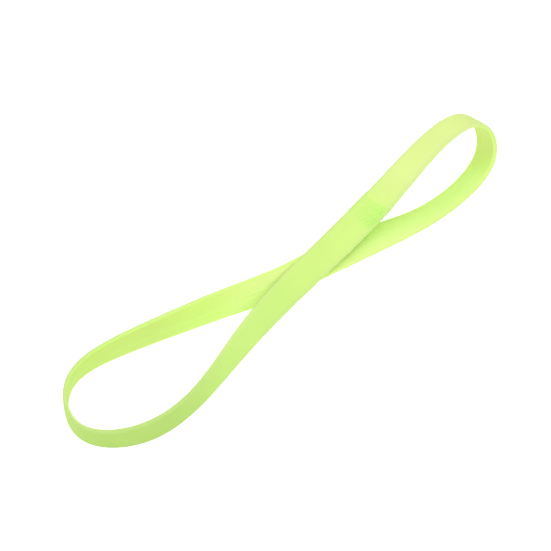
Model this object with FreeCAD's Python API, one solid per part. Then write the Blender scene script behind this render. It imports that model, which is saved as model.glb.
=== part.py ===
import FreeCAD, Part
import math
import os

# A slim elastic sports headband: one strip of woven elastic webbing, lapped and sewn into
# a loop, lying with its two runs pinched together in the middle and half twisted, so that
# one end of the loop stands on its edge and the other end leans back on its face.
# Millimetres. X runs along the loop, Z is up, the surface it lies on is z = 0 and the
# origin is under the middle of the loop.

# ---- driving dimensions ----
BAND_WIDTH = 12.7
BAND_THICKNESS = 2.0
EDGE_RADIUS = BAND_THICKNESS / 2      # the selvedges are half round
RUBBER_COUNT = 11
RUBBER_PITCH = 0.95
RUBBER_SIZE = 0.6                     # cut rubber thread is square
LAP_LENGTH = 12.0                     # how far the two cut ends overlap
LAP_PRESS = 0.5                       # the sewing presses both ends to this share of thickness
LAP_SPLIT = BAND_THICKNESS * LAP_PRESS + 0.04   # between the middles of the two pressed ends
LAP_START = 0.3005                    # share of the loop at which the under end is cut
PRESS_MARGIN = 1.0                    # the pressed length runs this far beyond the lap
PRESS_RAMP = 4.0                      # length over which the strip swells to full thickness
SEAL_LENGTH = 3.0                     # the cut ends are heat sealed and taper over this length
SEAL_PRESS = 0.75                     # to this share of the pressed thickness
GRIP_OFFSETS = (-1.5, 0.0, 1.5)       # three silicone lines on the inner face
GRIP_BASE = 0.7
GRIP_TOP = 0.4
GRIP_HEIGHT = 0.1
GRIP_MARGIN = 6.0                     # clear length between the lines and the lap
STITCH_ROWS = 3
STITCH_ROW_PITCH = 3.8
STITCHES_PER_ROW = 12
STITCH_SWING = 1.3                    # half the width of a zigzag row
STITCH_WIDTH = 0.38
STITCH_HEIGHT = 0.22
STATION_PITCH = 3.0                   # spacing of the sections the strip is skinned through
STRETCHES = 12                        # each long side is made of this many surfaces
EDGE_FLATS = 8                        # flats round each selvedge
Y_SHIFT = 4.9                         # centres the loop's box on the origin

# Control points of the strip's middle line, as one closed uniform cubic curve.
# Each is x, y, z and the lean of the strip's width in degrees: 0 stands on edge, 90 lies flat.
LOOP = [
    (-113, -11, 6.25, -5),
    (-88, -27, 6.25, 5),
    (-62, -24, 6.25, 5),
    (-37, -13, 6.25, 25),
    (-6, -3, 6, 45),
    (27, 3, 8.5, 55),
    (56, 7, 17, 85),
    (81, 10, 31.5, 105),
    (107, 11, 33, 110),
    (111, -1, 6.5, 115),
    (73, -6, 2, 115),
    (47, -2, 3.5, 90),
    (18, 2, 3.5, 55),
    (-4, 1, 7, 35),
    (-29, 8, 5.5, 30),
    (-55, 12, 6.25, 15),
    (-78, 16, 6.25, 5),
    (-102, 16, 6.25, -10),
]

HALF = BAND_WIDTH / 2
FLAT = HALF - EDGE_RADIUS             # where the faces end and the selvedges begin
SKIN = EDGE_RADIUS
CORE = RUBBER_SIZE / 2
V = FreeCAD.Vector


def blend(points, share):
    """Value and slope of the closed uniform cubic curve at a share of its length."""
    count = len(points)
    place = (share % 1.0) * count
    first = int(place)
    f = place - first
    weights = (
        (1 - f) ** 3 / 6,
        (3 * f ** 3 - 6 * f ** 2 + 4) / 6,
        (-3 * f ** 3 + 3 * f ** 2 + 3 * f + 1) / 6,
        f ** 3 / 6,
    )
    slopes = (
        -(1 - f) ** 2 / 2,
        (3 * f ** 2 - 4 * f) / 2,
        (-3 * f ** 2 + 2 * f + 1) / 2,
        f ** 2 / 2,
    )
    near = [points[(first + k - 1) % count] for k in range(4)]
    value = [sum(w * p[i] for w, p in zip(weights, near)) for i in range(4)]
    slope = [sum(w * p[i] for w, p in zip(slopes, near)) for i in range(3)]
    return value, slope


def frame_at(share):
    """Middle point, direction of travel, width direction and outward normal."""
    value, slope = blend(LOOP, share)
    middle = V(value[0], value[1] + Y_SHIFT, value[2])
    along = V(*slope)
    along.normalize()
    lean = math.radians(value[3])
    across = V(0, math.sin(lean), math.cos(lean))
    across = across - along * across.dot(along)
    across.normalize()
    return middle, along, across, along.cross(across)


def measure(start, end, steps=6000):
    """Shares of the loop at even small steps, with the length of strip up to each."""
    table = [(start, 0.0)]
    last = frame_at(start)[0]
    total = 0.0
    for i in range(1, steps + 1):
        share = start + (end - start) * i / steps
        here = frame_at(share)[0]
        total += (here - last).Length
        table.append((share, total))
        last = here
    return table


def share_at(table, length):
    """The share of the loop at a length along the strip."""
    low, high = 0, len(table) - 1
    while high - low > 1:
        middle = (low + high) // 2
        if table[middle][1] > length:
            high = middle
        else:
            low = middle
    a, b = table[low], table[high]
    return a[0] + (b[0] - a[0]) * (length - a[1]) / (b[1] - a[1])


TURN = measure(0.0, 1.0)
UNDER_END = [s for s in TURN if s[0] <= LAP_START][-1][1]
TURN_LENGTH = TURN[-1][1]
OVER_SHARE = 1.0 + share_at(TURN, UNDER_END + LAP_LENGTH)
STRIP = measure(LAP_START, OVER_SHARE)
STRIP_LENGTH = STRIP[-1][1]


def smooth(f):
    f = min(1.0, max(0.0, f))
    return f * f * f * (10 - 15 * f + 6 * f * f)


def pressed(near_end):
    """One where the strip is pressed in the lap, falling to zero beyond it."""
    return smooth((LAP_LENGTH + PRESS_MARGIN + PRESS_RAMP - near_end) / PRESS_RAMP)


def squash(length):
    """The share of its full thickness the strip keeps: less where it is sewn and sealed."""
    near_end = min(length, STRIP_LENGTH - length)
    seal = SEAL_PRESS + (1 - SEAL_PRESS) * smooth(near_end / SEAL_LENGTH)
    return (1 - (1 - LAP_PRESS) * pressed(near_end)) * seal


def section(length):
    """The strip's own frame at a length from its under end.

    In the lap the outer end shifts outwards and the under end inwards, half each, so that
    the two pressed ends together are flush with the rest of the strip.
    """
    middle, along, across, out = frame_at(share_at(STRIP, length))
    shift = LAP_SPLIT / 2 * (pressed(STRIP_LENGTH - length) - pressed(length))
    return middle + out * shift, along, across, out, squash(length)


def at(frame, w, t):
    """The point at w across the strip and t out of it, t counted in full thickness."""
    return frame[0] + frame[2] * w + frame[3] * (t * frame[4])


def stations(start, end):
    count = max(4, int(round((end - start) / STATION_PITCH)))
    return [start + (end - start) * i / count for i in range(count + 1)]


def rail(frames, w, t):
    """A long curve through one corner of every section."""
    count = len(frames) - 1
    curve = Part.BSplineCurve()
    points = [at(f, w, t) for f in frames]
    curve.interpolate(Points=points, Parameters=[i / count for i in range(count + 1)])
    return curve


def skin(a, b):
    """Straight-sided surfaces between two rails, one for each stretch of the strip."""
    faces = []
    for i in range(STRETCHES):
        pair = [a.copy(), b.copy()]
        for curve in pair:
            curve.segment(i / STRETCHES, (i + 1) / STRETCHES)
        grid = list(zip(*[c.getPoles() for c in pair]))
        surface = Part.BSplineSurface()
        surface.buildFromPolesMultsKnots(
            grid, pair[0].getMultiplicities(), [2, 2], pair[0].getKnots(), [0.0, 1.0],
            False, False, pair[0].Degree, 1)
        faces.append(surface.toShape())
    return faces


def close_up(faces):
    """Adds the two flat ends to a long tube of faces and makes a solid of them."""
    shell = Part.Shell(faces)
    shell.sewShape()
    ends = []
    used = {}
    for face in shell.Faces:
        for edge in face.Edges:
            used.setdefault(edge.hashCode(), []).append(edge)
    loose = [e[0] for e in used.values() if len(e) == 1]
    for wire in Part.sortEdges(loose):
        ends.append(Part.Face(Part.Wire(wire)))
    shell = Part.Shell(shell.Faces + ends)
    shell.sewShape()
    solid = Part.Solid(shell)
    if solid.Volume < 0:
        solid.reverse()
    return solid


def bar(frames, corners):
    """A long solid with straight sides between the corners (w, t) of its section."""
    rails = [rail(frames, w, t) for w, t in corners]
    faces = []
    for a, b in zip(rails, rails[1:] + rails[:1]):
        faces += skin(a, b)
    return close_up(faces)


def half_round(frames, side):
    """A selvedge: flat against the faces, rounded outside in eight small flats."""
    corners = []
    for i in range(EDGE_FLATS + 1):
        angle = math.pi * (i / EDGE_FLATS - 0.5)
        corners.append((
            side * (FLAT + EDGE_RADIUS * math.cos(angle)), EDGE_RADIUS * math.sin(angle)))
    return bar(frames, corners)


def box_section(w0, w1, t0, t1):
    return [(w0, t0), (w1, t0), (w1, t1), (w0, t1)]


def stitch(length, w0, l0, w1, l1, outer):
    """One stitch lying on a face: a low arched bar between its two needle holes."""
    side = 1 if outer else -1
    w_mid, l_mid = (w0 + w1) / 2, (l0 + l1) / 2
    span = math.hypot(w1 - w0, l1 - l0)
    ux, uw = (l1 - l0) / span, (w1 - w0) / span
    rings = []
    for reach, tall, wide in (
            (-0.5, 0.25, 0.6), (-0.36, 0.8, 0.95), (-0.12, 1.0, 1.0),
            (0.12, 1.0, 1.0), (0.36, 0.8, 0.95), (0.5, 0.25, 0.6)):
        ring = []
        frame = section(length + l_mid + reach * span * ux)
        face = SKIN * frame[4] + 0.02
        for across, up in ((-1, 0.0), (-0.75, 0.7), (0, 1.0), (0.75, 0.7), (1, 0.0)):
            l = -across * wide * STITCH_WIDTH / 2 * uw
            w = reach * span * uw + across * wide * STITCH_WIDTH / 2 * ux
            t = side * (face + up * tall * STITCH_HEIGHT)
            ring.append(frame[0] + frame[1] * l + frame[2] * (w_mid + w) + frame[3] * t)
        rings.append(Part.makePolygon(ring + [ring[0]]))
    solid = Part.makeLoft(rings, True, True)
    if solid.Volume < 0:
        solid.reverse()
    return solid


def stitch_row(number, outer):
    """A zigzag row of stitches from one selvedge to the other."""
    middle = LAP_LENGTH / 2 + (number - (STITCH_ROWS - 1) / 2) * STITCH_ROW_PITCH
    length = STRIP_LENGTH - LAP_LENGTH + middle if outer else middle
    reach = FLAT - 0.2
    solids = []
    for i in range(STITCHES_PER_ROW):
        w0 = -reach + 2 * reach * i / STITCHES_PER_ROW
        w1 = -reach + 2 * reach * (i + 1) / STITCHES_PER_ROW
        swing = STITCH_SWING if i % 2 else -STITCH_SWING
        gap = 0.06
        solids.append(stitch(
            length, w0 + gap, swing * 0.94, w1 - gap, -swing * 0.94, outer))
    return Part.Compound(solids)


def build():
    whole = [section(s) for s in stations(0.0, STRIP_LENGTH)]
    table = Part.makeBox(400, 400, 50, V(-200, -200, -50))
    nodes = {}
    nodes["face_weft_layer"] = bar(whole, box_section(-FLAT, FLAT, CORE, SKIN))
    nodes["back_weft_layer"] = bar(whole, box_section(-FLAT, FLAT, -SKIN, -CORE))
    nodes["selvedge_upper"] = half_round(whole, 1)
    nodes["selvedge_lower"] = half_round(whole, -1).cut(table)
    first = -(RUBBER_COUNT - 1) / 2 * RUBBER_PITCH
    edges = [-FLAT]
    for i in range(RUBBER_COUNT):
        w = first + i * RUBBER_PITCH
        name = "rubber_thread_%02d" % (i + 1)
        nodes[name] = bar(whole, box_section(w - CORE, w + CORE, -CORE, CORE))
        edges += [w - CORE, w + CORE]
    edges.append(FLAT)
    strips = [bar(whole, box_section(edges[i], edges[i + 1], -CORE, CORE))
              for i in range(0, len(edges), 2)]
    nodes["binder_yarns"] = Part.Compound(strips)
    inner = [section(s) for s in stations(
        LAP_LENGTH + GRIP_MARGIN, STRIP_LENGTH - LAP_LENGTH - GRIP_MARGIN)]
    for i, w in enumerate(GRIP_OFFSETS):
        corners = [
            (w - GRIP_BASE / 2, -SKIN), (w - GRIP_TOP / 2, -SKIN - GRIP_HEIGHT),
            (w + GRIP_TOP / 2, -SKIN - GRIP_HEIGHT), (w + GRIP_BASE / 2, -SKIN),
        ]
        nodes["silicone_grip_line_%d" % (i + 1)] = bar(inner, corners)
    for i in range(STITCH_ROWS):
        nodes["needle_stitch_row_%d" % (i + 1)] = stitch_row(i, True)
        nodes["bobbin_stitch_row_%d" % (i + 1)] = stitch_row(i, False)
    return nodes


os.makedirs("parts", exist_ok=True)
for name, shape in build().items():
    shape.exportStep("parts/" + name + ".step")
    box = shape.BoundBox
    print("%-24s valid %s solids %d volume %.2f z %.3f to %.3f" % (
        name, shape.isValid(), len(shape.Solids), shape.Volume, box.ZMin, box.ZMax))
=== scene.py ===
import bpy
import math
import random

import numpy as np
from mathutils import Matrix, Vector


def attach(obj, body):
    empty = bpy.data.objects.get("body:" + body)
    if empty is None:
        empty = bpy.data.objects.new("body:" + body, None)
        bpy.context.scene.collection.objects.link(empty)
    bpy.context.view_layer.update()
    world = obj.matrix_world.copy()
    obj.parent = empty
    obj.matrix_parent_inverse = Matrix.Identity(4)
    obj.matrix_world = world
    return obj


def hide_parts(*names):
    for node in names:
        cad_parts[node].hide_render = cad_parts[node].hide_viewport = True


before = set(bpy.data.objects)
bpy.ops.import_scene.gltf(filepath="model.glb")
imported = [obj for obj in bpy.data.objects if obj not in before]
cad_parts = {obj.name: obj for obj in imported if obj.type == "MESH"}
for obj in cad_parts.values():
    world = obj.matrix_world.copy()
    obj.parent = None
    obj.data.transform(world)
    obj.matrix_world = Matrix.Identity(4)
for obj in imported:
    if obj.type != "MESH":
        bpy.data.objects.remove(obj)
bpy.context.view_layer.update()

# A slim elastic sports headband: a woven strip sewn into a loop, lying pinched and half
# twisted. Lengths are in millimetres, and turned into metres as each mesh is made.
MM = 0.001

# The strip's section.
BAND_WIDTH = 12.7
BAND_THICKNESS = 2.0
HALF = BAND_WIDTH / 2
EDGE_RADIUS = BAND_THICKNESS / 2
FLAT = HALF - EDGE_RADIUS       # half the width of the flat faces, between the rolled edges
SKIN = EDGE_RADIUS              # from the middle of the strip out to a face
FACE_BED = 0.32                 # from the middle of the strip to the underside of a face layer
CROWN = 0.12                    # how much lower a face lies where it meets an edge

# The sewn lap, where both ends are pressed thin and part to either side.
LAP_LENGTH = 12.0
LAP_PRESS = 0.5                 # the share of its thickness that each end keeps in the lap
LAP_SPLIT = BAND_THICKNESS * LAP_PRESS + 0.04
LAP_START = 0.3005              # where the under end begins, as a share of the loop's curve
PRESS_MARGIN = 1.0              # the ends stay pressed this far beyond the lap
PRESS_RAMP = 4.0                # and reach their full thickness over this length
SEAL_LENGTH = 3.0               # the cut ends are melted thinner over this length
SEAL_PRESS = 0.75
SWELL_FILL = 0.96               # the share of a hollow that the strip's free side fills
SWELL_LEAD = 0.38               # the strip begins to stand up this much before the cut end
SWELL_RAMP = 0.45               # and is up after this much

# The zigzag sewing: rows through the lap, each one crossing the band.
STITCH_ROWS = 3
ROW_PITCH = 3.8
STITCHES = 12                   # in each row
STITCH_REACH = FLAT - 0.2       # from the middle of the strip to either end of a row
STITCH_SWING = 1.3              # how far a row swings to either side along the strip
STITCH_GAP = 0.03
STITCH_ARCH = 0.06              # how much higher a stitch's middle stands than its ends
STITCH_RINGS = 15
THREAD_RADIUS = 0.14
THREAD_SINK = 0.10
THREAD_SIDES = 8
END_SHARE = 0.75                # the share of its thickness the thread keeps at its holes

# The weave: lengthwise ribs over the rubber threads, crossed by picks.
WEAVE_RIBS = 11
RIB = 2 * FLAT / WEAVE_RIBS
EDGE_RIB = 0.35
PICK = 0.62
RIB_HEIGHT = 0.022
RIB_SINK = 0.015
RIB_FADE = 0.5                  # the ribs fade out over this width beside the edges
UNEVEN_HEIGHT = 0.02            # a slow unevenness of the faces, and how far it sways
UNEVEN_SWAY = 1.5
EDGE_SWELL = 0.16               # how far the rolled edges stand out past a half round
PICK_LOOP = 0.05                # how much further the small loops of the picks do
EDGE_WAVE = 0.15                # how far the edges waver

# The bead melted along each cut end, and the dents that the stitches draw.
BEAD_HEIGHT = 0.13
BEAD_MIDDLE = 0.45
BEAD_WIDTH = 0.4
DENT_DEPTH = 0.035
DENT_WIDTH = 0.35
DENT_SLANT = 0.6                # a slanting stitch is nearer than it is along the strip

# The silicone lines on the inner face.
GRIP_LINES = (-1.5, 0.0, 1.5)   # their middles, across the strip
GRIP_HALF_WIDTH = 0.42
GRIP_UNEVEN = 0.12              # how much their width varies, as a share of it
GRIP_HEIGHT = 0.065
GRIP_SINK = 0.03
GRIP_MARGIN = 6.0               # from the lap to the ends of the lines

# The band's middle line: points that pull a smooth closed curve, the same as the model's.
# Each is x, y, z and the lean of the band's width from upright, in degrees.
Y_SHIFT = 4.9                   # added to y, so that the loop lies about the origin
FLOOR_GAP = 0.01                # the webbing and its lines lie no lower than this
LOOP = np.array([
    (-113, -11, 6.25, -5),
    (-88, -27, 6.25, 5),
    (-62, -24, 6.25, 5),
    (-37, -13, 6.25, 25),
    (-6, -3, 6, 45),
    (27, 3, 8.5, 55),
    (56, 7, 17, 85),
    (81, 10, 31.5, 105),
    (107, 11, 33, 110),
    (111, -1, 6.5, 115),
    (73, -6, 2, 115),
    (47, -2, 3.5, 90),
    (18, 2, 3.5, 55),
    (-4, 1, 7, 35),
    (-29, 8, 5.5, 30),
    (-55, 12, 6.25, 15),
    (-78, 16, 6.25, 5),
    (-102, 16, 6.25, -10),
], float)


# ---- the strip's path ----
def unit(v):
    """Vectors of length one."""
    return v / np.linalg.norm(v, axis=-1, keepdims=True)


def smooth(f):
    """Zero up to 0, one from 1 on, and eased between."""
    f = np.clip(f, 0.0, 1.0)
    return f ** 3 * (10 - 15 * f + 6 * f * f)


def loop_frames(shares):
    """Middle points, directions of travel, width directions and outward normals."""
    count = len(LOOP)
    place_in_loop = (np.asarray(shares) % 1.0) * count
    first = np.floor(place_in_loop).astype(int)
    f = (place_in_loop - first)[:, None]
    near = [LOOP[(first + k - 1) % count] for k in range(4)]
    value = (near[0] * (1 - f) ** 3 + near[1] * (3 * f ** 3 - 6 * f ** 2 + 4)
             + near[2] * (-3 * f ** 3 + 3 * f ** 2 + 3 * f + 1) + near[3] * f ** 3) / 6
    slope = (-near[0] * (1 - f) ** 2 + near[1] * (3 * f ** 2 - 4 * f)
             + near[2] * (-3 * f ** 2 + 2 * f + 1) + near[3] * f ** 2) / 2
    middle = value[:, :3] + np.array([0, Y_SHIFT, 0])
    along = unit(slope[:, :3])
    lean = np.radians(value[:, 3])
    across = np.stack([np.zeros_like(lean), np.sin(lean), np.cos(lean)], 1)
    across = unit(across - along * (across * along).sum(1, keepdims=True))
    return middle, along, across, np.cross(along, across)


def length_table(start, end, steps=12000):
    """Shares of the loop's curve from start to end, and the length of the curve up to each."""
    shares = np.linspace(start, end, steps + 1)
    middle = loop_frames(shares)[0]
    legs = np.linalg.norm(np.diff(middle, axis=0), axis=1)
    return shares, np.concatenate([[0.0], np.cumsum(legs)])


turn_shares, turn_lengths = length_table(0.0, 1.0)
under_end = np.interp(LAP_START, turn_shares, turn_lengths)
over_share = 1.0 + np.interp(under_end + LAP_LENGTH, turn_lengths, turn_shares)
strip_shares, strip_lengths = length_table(LAP_START, over_share)
STRIP = float(strip_lengths[-1])


def pressed(near_end):
    """One where the strip is pressed in the lap, falling to zero beyond it."""
    return smooth((LAP_LENGTH + PRESS_MARGIN + PRESS_RAMP - near_end) / PRESS_RAMP)


def squash(lengths):
    """The share of its full thickness the strip keeps: less where it is sewn and sealed."""
    near_end = np.clip(np.minimum(lengths, STRIP - lengths), 0.0, None)
    seal = SEAL_PRESS + (1 - SEAL_PRESS) * smooth(near_end / SEAL_LENGTH)
    return (1 - (1 - LAP_PRESS) * pressed(near_end)) * seal


def strip_frames(lengths):
    """The strip's own frames at lengths from its under end, parted half and half in the lap."""
    lengths = np.atleast_1d(np.asarray(lengths, float))
    inside = np.clip(lengths, 0.0, STRIP)
    middle, along, across, out = loop_frames(np.interp(inside, strip_lengths, strip_shares))
    shift = LAP_SPLIT / 2 * (pressed(STRIP - inside) - pressed(inside))
    middle = middle + out * shift[:, None] + along * (lengths - inside)[:, None]
    return middle, along, across, out


def swell(lengths):
    """How much the strip's free side stands up again beside a cut end, outer and inner side.

    It fills the hollow that the pressed length would leave beside the cut end lying on it.
    """
    amounts = []
    for near_end in (lengths, STRIP - lengths):
        hollow = (LAP_SPLIT / 2 + (1 - LAP_PRESS) * SKIN) * pressed(near_end)
        rise = smooth((near_end - LAP_LENGTH + SWELL_LEAD) / SWELL_RAMP)
        amounts.append(SWELL_FILL * hollow * rise)
    return amounts


def place(lengths, w, t):
    """Points w across the strip and t out of its middle: one row of them for each length."""
    middle, along, across, out = strip_frames(lengths)
    above, below = swell(lengths)
    t = (t * squash(lengths)[:, None]
         + np.clip(t, 0, SKIN) / SKIN * above[:, None]
         + np.clip(t, -SKIN, 0) / SKIN * below[:, None])
    points = middle[:, None] + across[:, None] * w[..., None] + out[:, None] * t[..., None]
    points[..., 2] = np.maximum(points[..., 2], FLOOR_GAP)
    return points


def wander(lengths, seed, size, waves):
    """A slow irregular wobble along the strip, the same every run.

    Each wave is its length and its weight among the others.
    """
    rng = random.Random(seed)
    total = np.zeros_like(lengths)
    weight = 0.0
    for span, share in waves:
        turn = rng.random() * 2 * math.pi
        total += share * np.sin(lengths / span * 2 * math.pi + turn)
        weight += share
    return size * total / weight


# ---- meshes ----
def mesh_object(name, points, faces, uvs=None):
    """A smooth-shaded object from points in millimetres, with one UV pair for each point."""
    mesh = bpy.data.meshes.new(name)
    mesh.from_pydata((np.asarray(points) * MM).tolist(), [], faces)
    if uvs is not None:
        layer = mesh.uv_layers.new(name="strip")
        corners = np.empty(len(mesh.loops), int)
        mesh.loops.foreach_get("vertex_index", corners)
        layer.data.foreach_set("uv", np.asarray(uvs)[corners].astype(np.float32).ravel())
    mesh.polygons.foreach_set("use_smooth", [True] * len(mesh.polygons))
    mesh.update()
    mesh.set_sharp_from_angle(angle=math.radians(50))
    obj = bpy.data.objects.new(name, mesh)
    bpy.context.scene.collection.objects.link(obj)
    return obj


def ring_faces(first, rings, sides):
    """Quads between rings of points that follow each other from the first point on, and caps."""
    faces = []
    for ring in range(rings - 1):
        near = first + ring * sides
        for side in range(sides):
            beside = (side + 1) % sides
            faces.append((near + side, near + beside, near + sides + beside, near + sides + side))
    faces.append(tuple(range(first, first + sides))[::-1])
    last = first + (rings - 1) * sides
    faces.append(tuple(range(last, last + sides)))
    return faces


def tube_of(name, lengths, w, t, uv_w=None):
    """A closed solid from rings of (w, t): one ring for each length."""
    rings, sides = w.shape
    points = place(lengths, w, t).reshape(-1, 3)
    uvs = np.stack([np.repeat(lengths, sides), (w if uv_w is None else uv_w).ravel()], 1)
    return mesh_object(name, points, ring_faces(0, rings, sides), uvs)


# ---- materials ----
class Surface:
    """One material, with short ways to add the nodes that its colour and relief need."""

    def __init__(self, name):
        self.material = bpy.data.materials.new(name)
        self.material.use_nodes = True
        self.nodes = self.material.node_tree.nodes
        self.links = self.material.node_tree.links
        self.nodes.clear()
        out = self.nodes.new("ShaderNodeOutputMaterial")
        self.shader = self.nodes.new("ShaderNodeBsdfPrincipled")
        self.links.new(self.shader.outputs[0], out.inputs[0])

    def feed(self, value, socket):
        """Link an output to the socket, or set the socket to a number or a colour."""
        if isinstance(value, bpy.types.NodeSocket):
            self.links.new(value, socket)
        elif isinstance(value, tuple):
            socket.default_value = (*value, 1.0)
        else:
            socket.default_value = value

    def math(self, operation, a, b=0.0, clamp=False):
        node = self.nodes.new("ShaderNodeMath")
        node.operation = operation
        node.use_clamp = clamp
        self.feed(a, node.inputs[0])
        self.feed(b, node.inputs[1])
        return node.outputs[0]

    def add(self, a, b, clamp=False):
        return self.math("ADD", a, b, clamp)

    def times(self, a, b):
        return self.math("MULTIPLY", a, b)

    def mix(self, factor, a, b, blend="MIX"):
        node = self.nodes.new("ShaderNodeMix")
        node.data_type = "RGBA"
        node.blend_type = blend
        self.feed(factor, node.inputs[0])
        self.feed(a, node.inputs[6])
        self.feed(b, node.inputs[7])
        return node.outputs[2]

    def ramp(self, value, low, high):
        """Zero at low, one at high, eased between; low may be the larger."""
        node = self.nodes.new("ShaderNodeMapRange")
        node.interpolation_type = "SMOOTHSTEP"
        self.feed(value, node.inputs["Value"])
        self.feed(low, node.inputs["From Min"])
        self.feed(high, node.inputs["From Max"])
        return node.outputs["Result"]

    def noise(self, scale, detail):
        node = self.nodes.new("ShaderNodeTexNoise")
        self.feed(scale, node.inputs["Scale"])
        self.feed(detail, node.inputs["Detail"])
        coordinates = self.nodes.new("ShaderNodeTexCoord")
        self.feed(coordinates.outputs["Object"], node.inputs["Vector"])
        return node.outputs[0]

    def strip_place(self):
        """How far along the strip and how far across it, in millimetres."""
        uv = self.nodes.new("ShaderNodeUVMap")
        uv.uv_map = "strip"
        split = self.nodes.new("ShaderNodeSeparateXYZ")
        self.feed(uv.outputs[0], split.inputs[0])
        return split.outputs[0], split.outputs[1]

    def painted_light_and_shade(self, s, colour, zones):
        """Lengths of the strip painted lighter or darker, as painted light and shade.

        Each zone is where it begins, is full, is last full and ends, and its gain on colour.
        """
        for begin, full, last, end, gain in zones:
            mask = self.times(self.ramp(s, begin, full), self.ramp(s, end, last))
            colour = self.mix(mask, colour, gain, "MULTIPLY")
        return colour

    def set(self, **values):
        """Values that are the same all over, on the shader's own sockets."""
        for socket, value in values.items():
            self.feed(value, self.shader.inputs[socket.replace("_", " ")])

    def relief(self, height, strength, depth):
        bump = self.nodes.new("ShaderNodeBump")
        self.feed(strength, bump.inputs["Strength"])
        self.feed(depth, bump.inputs["Distance"])
        self.feed(height, bump.inputs["Height"])
        self.feed(bump.outputs[0], self.shader.inputs["Normal"])


def tint(colour, gain):
    """The colour, made lighter or darker."""
    return tuple(part * gain for part in colour)


# How the parts of the weave share in its relief and its colour; its valleys are painted darker,
# as painted shade.
PICK_SHARE = 0.6
FUZZ_RELIEF = 0.6
SHADE_AND_FUZZ_SHARE = 0.35
CLOUD_MIDDLE = 0.35
CLOUD_SHARE = 1.1
DARKEST = 0.96
LIGHTEST = 1.03
LOWER_TILT = 0.1                # how fast the lap's painted darkening falls off, for each mm upwards
SEAM_FADE = 1.5                 # the darkening begins this far before the lap
SEAM_FULL = 2.0                 # and is full this far into it
SEAM_END = 0.4                  # it is gone this far past the lap's end
SEAM_LAST = 0.8                 # and begins to go this far before it


def weave_height(surface, s, w, rib):
    """Lengthwise ribs, crossed by picks that rise over the odd and the even ribs in turn."""
    ribs = surface.math("ABSOLUTE", surface.math("COSINE", surface.times(w, math.pi / rib)))
    rib_number = surface.math("FLOOR", surface.add(surface.math("DIVIDE", w, rib), 0.5))
    pick_turn = surface.add(
        surface.times(s, 2 * math.pi / PICK), surface.times(rib_number, math.pi))
    picks = surface.times(surface.add(surface.math("SINE", pick_turn), 1.0), 0.5)
    return surface.times(
        ribs, surface.add(surface.times(picks, PICK_SHARE), 1 - PICK_SHARE))


def woven(name, base, rib, relief, seam_from, seam_gain, zones, side_light_and_shade):
    """Narrow woven elastic: lengthwise ribs crossed by fine picks, as colour and as relief.

    The lap is painted darker and greener, most of all towards its lower edge: partly its
    pressed weave's own tone, partly painted shade of its stitches and of that lower half.
    Each side zone is where across the width painted light and shade begin and are full, and its
    gain.
    """
    surface = Surface(name)
    s, w = surface.strip_place()
    fuzz = surface.noise(scale=2600, detail=4)
    cloud = surface.noise(scale=70, detail=3)
    height = weave_height(surface, s, w, rib)

    # The weave's valleys are painted darker, as painted shade, together with the yarn's own fuzz.
    fine = surface.add(
        surface.times(height, SHADE_AND_FUZZ_SHARE), surface.times(fuzz, SHADE_AND_FUZZ_SHARE))
    broad = surface.times(surface.math("SUBTRACT", cloud, CLOUD_MIDDLE), CLOUD_SHARE)
    shade = surface.add(fine, broad, clamp=True)
    colour = surface.mix(shade, tint(base, DARKEST), tint(base, LIGHTEST))

    colour = surface.painted_light_and_shade(s, colour, zones)
    for begin, full, gain in side_light_and_shade:
        colour = surface.mix(surface.ramp(w, begin, full), colour, gain, "MULTIPLY")

    # The lap's darkening: partly the pressed weave's own tone, partly painted shade of its
    # stitches and lower half.
    seam_to = seam_from + LAP_LENGTH
    sewn = surface.times(
        surface.ramp(s, seam_from - SEAM_FADE, seam_from + SEAM_FULL),
        surface.ramp(s, seam_to + SEAM_END, seam_to - SEAM_LAST))
    lower = surface.math("SUBTRACT", 0.5, surface.times(w, LOWER_TILT), clamp=True)
    colour = surface.mix(surface.times(sewn, lower), colour, seam_gain, "MULTIPLY")

    surface.set(
        Base_Color=colour, Roughness=0.85, Specular_IOR_Level=0.12,
        Sheen_Weight=0.05, Sheen_Roughness=0.5, Sheen_Tint=(0.96, 1.0, 0.8))
    surface.relief(surface.add(height, surface.times(fuzz, FUZZ_RELIEF)), relief, depth=0.0001)
    return surface.material


def plain(name, dark, light, scale, roughness, relief, sheen=0.0, specular=0.4, zones=()):
    """A yarn, rubber or silicone with fine mottling and grain."""
    surface = Surface(name)
    grain = surface.noise(scale, detail=5)
    colour = surface.mix(grain, dark, light)
    if zones:
        colour = surface.painted_light_and_shade(surface.strip_place()[0], colour, zones)
    surface.set(
        Base_Color=colour, Roughness=roughness, Sheen_Weight=sheen,
        Specular_IOR_Level=specular)
    surface.relief(grain, relief, depth=0.00008)
    return surface.material


def stage_material(name, shade, glow):
    """A matt white that gives off a little light, so that it stays white away from the lamp."""
    surface = Surface(name)
    surface.set(
        Base_Color=(shade, shade, shade), Roughness=0.9,
        Emission_Color=(1.0, 1.0, 1.0), Emission_Strength=glow)
    return surface.material


# The fabric's colours, and the painted light and shade in zones along the strip and across it.
# The last zone of the outer face is a painted highlight on the ridge at the cut end.
BASE = (0.467, 0.722, 0.159)
# The inner face's colour is paler than the outer's: partly its own colour, partly painted light
# that lifts the shade the strands cast on it.
INNER_BASE = (0.518, 0.772, 0.171)
EDGE_BASE = (0.464, 0.697, 0.175)
# The lower rim of each face is painted greyer, as painted shade where the edge turns down from
# the lamp.
LOWER_RIM_SHADE = (-3.6, -5.3, (1.0, 0.955, 1.08))
# Outer face: painted light where it rises to face the lamp, painted shade at the left end that
# turns away.
OUTER_LIGHT_AND_SHADE = (
    (0, 32, 60, 80, (1.16, 1.02, 1.3)),
    (300, 335, 355, 402, (0.78, 0.80, 0.75)),
    (330, 380, 425, 460, (0.965, 0.99, 0.98)),
    (STRIP - 1.9, STRIP - 1.1, STRIP, STRIP + 1, (1.15, 1.02, 1.2)),
)
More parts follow.
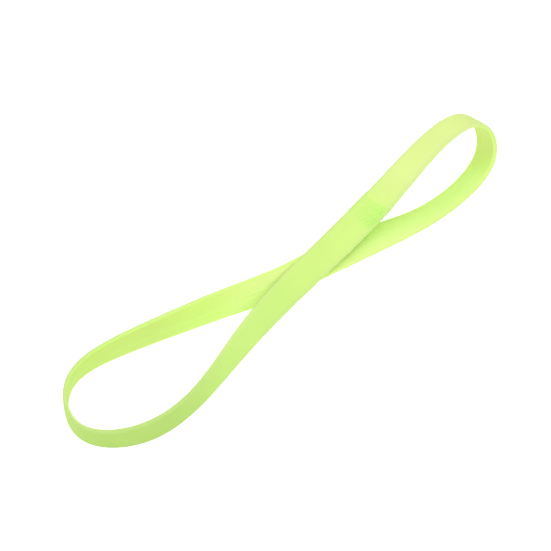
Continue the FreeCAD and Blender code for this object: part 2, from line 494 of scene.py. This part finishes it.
# Inner face: painted shade in the fold at the right end and along the left end, and painted light
# that lifts the shade beside the crossing.
INNER_LIGHT_AND_SHADE = (
    (62, 72, 84, 96, (1.04, 0.92, 1.07)),
    (92, 105, 150, 175, (1.05, 1.05, 1.23)),
    (175, 195, 210, 238, (1.18, 1.05, 1.5)),
    (235, 262, 305, 330, (0.93, 0.90, 0.94)),
)
# Edges: painted light where the band rises to face the lamp, painted shade along its left end.
EDGE_LIGHT_AND_SHADE = (
    (8, 40, 60, 80, (1.1, 1.0, 1.2)),
    (215, 240, 300, 330, (0.95, 0.96, 1.0)),
    (300, 335, 370, 400, (0.85, 0.88, 0.88)),
)

OUTER = woven(
    "outer_weave", BASE, rib=RIB, relief=0.35, seam_from=STRIP - LAP_LENGTH,
    seam_gain=(0.78, 1.0, 0.72), zones=OUTER_LIGHT_AND_SHADE, side_light_and_shade=(LOWER_RIM_SHADE,))
# The inner face is painted lighter towards its upper edge, as painted light that lifts the shade
# of the strand lying over it.
INNER = woven(
    "inner_weave", INNER_BASE, rib=RIB, relief=0.35, seam_from=0.0,
    seam_gain=(0.85, 1.0, 0.8), zones=INNER_LIGHT_AND_SHADE,
    side_light_and_shade=(LOWER_RIM_SHADE, (-4.0, 4.0, (1.08, 1.055, 1.0))))
# The selvedge is painted paler where it rolls round to the inner face, like that face: partly its
# own colour, partly painted light.
EDGE = woven(
    "selvedge", EDGE_BASE, rib=EDGE_RIB, relief=0.3, seam_from=STRIP - LAP_LENGTH,
    seam_gain=(0.8, 1.0, 0.8), zones=EDGE_LIGHT_AND_SHADE,
    side_light_and_shade=((0.2, -1.2, (1.22, 1.22, 1.07)),))
# The threads are painted a little paler than the fabric, as painted light that offsets their own
# small shadows.
THREAD, BOBBIN = [
    plain(name, tint(BASE, 1.05), tint(BASE, 1.1), scale=3000, roughness=0.7, relief=0.3,
          sheen=0.05)
    for name in ("needle_thread", "bobbin_thread")]
RUBBER = plain(
    "elastic_rubber", (0.55, 0.53, 0.4), (0.62, 0.6, 0.48), scale=900, roughness=0.6,
    relief=0.2)
BINDER = plain(
    "binder_yarn", tint(BASE, 0.85), BASE, scale=2500, roughness=0.85, relief=0.6, sheen=0.2)
# The silicone lines carry the inner face's painted light and shade.
SILICONE = plain(
    "silicone_grip", INNER_BASE, tint(INNER_BASE, 1.04), scale=500, roughness=0.5,
    relief=0.1, specular=0.25, zones=INNER_LIGHT_AND_SHADE)


def finish_piece(obj, material, slot_name, *nodes):
    """Give a piece its material, and say what it rides on and replaces; slot_name is not used."""
    obj.data.materials.append(material)
    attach(obj, "root")
    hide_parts(*nodes)


# ---- the webbing ----
def weave_relief(lengths, w):
    """Soft ribs along the band, one over each rubber thread, and a slow unevenness."""
    rib = np.abs(np.cos(w * math.pi / RIB))
    slow = wander(lengths, 3, UNEVEN_HEIGHT, ((5, 0.6), (11, 0.8), (19, 1.0), (43, 1.0)))
    sway = wander(lengths, 4, UNEVEN_SWAY, ((21, 1.0), (57, 1.0)))
    across = np.cos((w + sway[:, None]) * math.pi / (2 * HALF))
    fade = smooth((FLAT - np.abs(w)) / RIB_FADE)
    return (RIB_HEIGHT * rib - RIB_SINK + slow[:, None] * across) * fade


def seal_lip(lengths):
    """The small bead melted along each cut end."""
    near_end = np.minimum(lengths, STRIP - lengths)
    return BEAD_HEIGHT * np.exp(-((near_end - BEAD_MIDDLE) / BEAD_WIDTH) ** 2)


def row_middle(number):
    """How far along the lap the middle of a row of stitches lies."""
    return LAP_LENGTH / 2 + (number - (STITCH_ROWS - 1) / 2) * ROW_PITCH


def stitch_dents(lengths, w, outer):
    """Where the zigzag stitches draw the sewn end down into itself."""
    near_end = STRIP - lengths if outer else lengths
    dent = np.zeros_like(w)
    for number in range(STITCH_ROWS):
        from_row = row_middle(number) - near_end
        if not outer:
            from_row = -from_row
        phase = (w + STITCH_REACH) / (2 * STITCH_REACH) * STITCHES
        step = np.floor(phase)
        line = np.where(step % 2 == 0, 1, -1) * STITCH_SWING * (2 * (phase - step) - 1)
        gap = (from_row[:, None] - line) * DENT_SLANT
        dent += DENT_DEPTH * np.exp(-(gap / DENT_WIDTH) ** 2)
    return dent


def ring_places(coarse, fine):
    """Rings close together over the sewn ends and wider apart between them."""
    ends = LAP_LENGTH + PRESS_MARGIN + PRESS_RAMP + 1.0
    first = np.arange(0.0, ends, fine)
    between = np.linspace(ends, STRIP - ends, int((STRIP - 2 * ends) / coarse))
    return np.concatenate([first, between, STRIP - first[::-1]])


def face_layer(name, side, columns=68):
    """One face of the webbing, down to the rubber threads: side is 1 outside, -1 inside."""
    lengths = ring_places(coarse=0.42, fine=0.16)
    column_w = np.linspace(-FLAT, FLAT, columns)
    w = np.repeat(column_w[None], len(lengths), 0)
    relief = weave_relief(lengths, w) + seal_lip(lengths)[:, None]
    relief -= stitch_dents(lengths, w, side > 0)
    top = SKIN + relief - CROWN * (column_w[None] / FLAT) ** 4
    bed_w = np.array([FLAT, -FLAT])[None].repeat(len(lengths), 0)
    bed_t = np.full_like(bed_w, FACE_BED)
    ring_w = np.concatenate([w, bed_w], 1)
    ring_t = np.concatenate([top, bed_t], 1) * side
    if side < 0:
        ring_w, ring_t = ring_w[:, ::-1], ring_t[:, ::-1]
    return tube_of(name, lengths, ring_w, ring_t)


def selvedge(name, side, rings=5200, columns=11):
    """A rolled edge with small loops where each pick turns back: side is 1 above, -1 below."""
    lengths = np.linspace(0.0, STRIP, rings)
    angles = np.linspace(-math.pi / 2, math.pi / 2, columns)[None]
    loops = 0.5 + 0.5 * np.sin(lengths * 2 * math.pi / PICK)
    radius = EDGE_RADIUS + (EDGE_SWELL + PICK_LOOP * loops[:, None]) * np.cos(angles)
    waves = ((2.7, 0.6), (4.3, 0.8), (7, 0.8), (13, 0.8), (23, 0.8), (61, 0.5))
    wave = wander(lengths, 11 + side, EDGE_WAVE, waves)[:, None] * np.cos(angles)
    w = side * (FLAT + radius * np.cos(angles) + wave)
    t = np.broadcast_to((EDGE_RADIUS - CROWN) * np.sin(angles), w.shape)
    around = np.broadcast_to(angles * EDGE_RADIUS, w.shape)
    if side < 0:
        w, t, around = w[:, ::-1], t[:, ::-1], around[:, ::-1]
    return tube_of(name, lengths, w, t, around)


finish_piece(face_layer("webbing_outer_face", 1), OUTER, "outer_weave", "face_weft_layer")
finish_piece(face_layer("webbing_inner_face", -1), INNER, "inner_weave", "back_weft_layer")
finish_piece(selvedge("webbing_upper_edge", 1), EDGE, "selvedge", "selvedge_upper")
finish_piece(selvedge("webbing_lower_edge", -1), EDGE, "selvedge", "selvedge_lower")


# ---- silicone lines on the inner face ----
GRIP_WAVES = ((9, 0.5), (17, 0.8), (31, 1.0), (74, 1.2))


def grip_line(name, w_middle, seed, rings=1200, columns=9):
    """A low rounded line, a little uneven in its width."""
    start = LAP_LENGTH + GRIP_MARGIN
    lengths = np.linspace(start, STRIP - start, rings)
    angles = np.linspace(0, math.pi, columns)[None]
    half = GRIP_HALF_WIDTH * (1 + wander(lengths, seed, GRIP_UNEVEN, GRIP_WAVES)[:, None])
    w = w_middle + half * np.cos(angles)
    t = np.broadcast_to(-(SKIN - GRIP_SINK + GRIP_HEIGHT * np.sin(angles) ** 2), w.shape)
    return tube_of(name, lengths, w, t)


for i, w_middle in enumerate(GRIP_LINES):
    line = grip_line("grip_line_%d" % (i + 1), w_middle, 40 + i)
    finish_piece(line, SILICONE, "silicone_grip", "silicone_grip_line_%d" % (i + 1))


# ---- zigzag stitches through the lap ----
def stitch(base, side, w0, w1, swing):
    """Points of one stitch of round thread from w0 to w1, pulled down at its needle holes."""
    f = np.linspace(0, 1, STITCH_RINGS)
    lengths = base + swing * (1 - 2 * f)
    w = w0 + (w1 - w0) * f
    arch = np.sin(f * math.pi) ** 0.45
    lift = SKIN * squash(lengths) + STITCH_ARCH * arch - THREAD_SINK
    run = np.array([w1 - w0, -2 * swing])
    run /= np.linalg.norm(run)
    middle, along, across, out = strip_frames(lengths)
    centre = middle + across * w[:, None] + out * (side * lift)[:, None]
    beside = across * -run[1] + along * run[0]
    thick = (THREAD_RADIUS * (END_SHARE + (1 - END_SHARE) * arch))[:, None, None]
    turn = (np.arange(THREAD_SIDES) / THREAD_SIDES * 2 * math.pi)[None, :, None]
    points = centre[:, None] + thick * (
        beside[:, None] * np.cos(turn) + out[:, None] * side * np.sin(turn))
    return points.reshape(-1, 3)


def stitch_row(name, number, outer):
    """A row of stitches that crosses the band, swinging to and fro along it."""
    base = row_middle(number) + (STRIP - LAP_LENGTH if outer else 0.0)
    side = 1 if outer else -1
    pitch = 2 * STITCH_REACH / STITCHES
    ring_uvs = [(ring / (STITCH_RINGS - 1) * 3, corner / THREAD_SIDES)
                for ring in range(STITCH_RINGS) for corner in range(THREAD_SIDES)]
    points, faces, uvs = [], [], []
    for i in range(STITCHES):
        w0 = -STITCH_REACH + pitch * i + STITCH_GAP
        w1 = -STITCH_REACH + pitch * (i + 1) - STITCH_GAP
        faces += ring_faces(len(points), STITCH_RINGS, THREAD_SIDES)
        points += list(stitch(base, side, w0, w1, STITCH_SWING if i % 2 else -STITCH_SWING))
        uvs += ring_uvs
    return mesh_object(name, points, faces, uvs)


for i in range(STITCH_ROWS):
    row = stitch_row("zigzag_top_row_%d" % (i + 1), i, True)
    finish_piece(row, THREAD, "needle_thread", "needle_stitch_row_%d" % (i + 1))
    row = stitch_row("zigzag_under_row_%d" % (i + 1), i, False)
    finish_piece(row, BOBBIN, "bobbin_thread", "bobbin_stitch_row_%d" % (i + 1))

# ---- pieces carried over from the model ----
for name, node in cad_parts.items():
    if name.startswith("rubber_thread"):
        node.data.materials.clear()
        node.data.materials.append(RUBBER)
    elif name == "binder_yarns":
        node.data.materials.clear()
        node.data.materials.append(BINDER)

# ---- floor and backdrop ----
ROOM = 2900
WALL_HEIGHT = 500
corners = [(-ROOM, -ROOM), (ROOM, -ROOM), (ROOM, ROOM), (-ROOM, ROOM)]
floor = mesh_object("floor", [(x, y, 0) for x, y in corners], [(0, 1, 2, 3)])
floor.data.materials.append(stage_material("pale_floor", 0.76, 0.62))

backdrop = mesh_object(
    "backdrop", [(x, y, z) for z in (0, WALL_HEIGHT) for x, y in corners],
    [(i, (i + 1) % 4, 4 + (i + 1) % 4, 4 + i) for i in range(4)])
backdrop.data.materials.append(stage_material("pale_backdrop", 0.3, 0.75))

# ---- light ----
scene = bpy.context.scene
scene.view_settings.view_transform = "Standard"
world = bpy.data.worlds.new("studio")
scene.world = world
world.use_nodes = True
background = world.node_tree.nodes["Background"]
background.inputs["Color"].default_value = (1.0, 1.0, 0.94, 1)
background.inputs["Strength"].default_value = 0.345


def aim(obj, position, target):
    """Put a light or camera at a position, looking at a target: both in metres."""
    obj.location = position
    obj.rotation_mode = "QUATERNION"
    obj.rotation_quaternion = (target - position).to_track_quat("-Z", "Y")
    scene.collection.objects.link(obj)


lamp = bpy.data.lights.new("overhead", "AREA")
lamp.shape = "SQUARE"
lamp.size = 1.9
lamp.energy = 22.8
lamp.color = (1.0, 0.85, 1.1)
aim(bpy.data.objects.new("overhead", lamp), Vector((-0.05, -0.12, 0.95)), Vector((0, 0, 0)))

# ---- camera ----
AZIMUTH = math.radians(-36.0)
ELEVATION = math.radians(55.0)
DISTANCE = 0.589                # in metres, from the target
target = Vector((-0.0011, 0.0145, 0.0))
back = Vector((
    math.sin(AZIMUTH) * math.cos(ELEVATION),
    -math.cos(AZIMUTH) * math.cos(ELEVATION),
    math.sin(ELEVATION)))
camera_data = bpy.data.cameras.new("camera")
camera_data.sensor_width = 36
camera_data.lens = 91.86207
camera_data.clip_start = 0.01
camera = bpy.data.objects.new("camera", camera_data)
aim(camera, target + back * DISTANCE, target)
scene.camera = camera
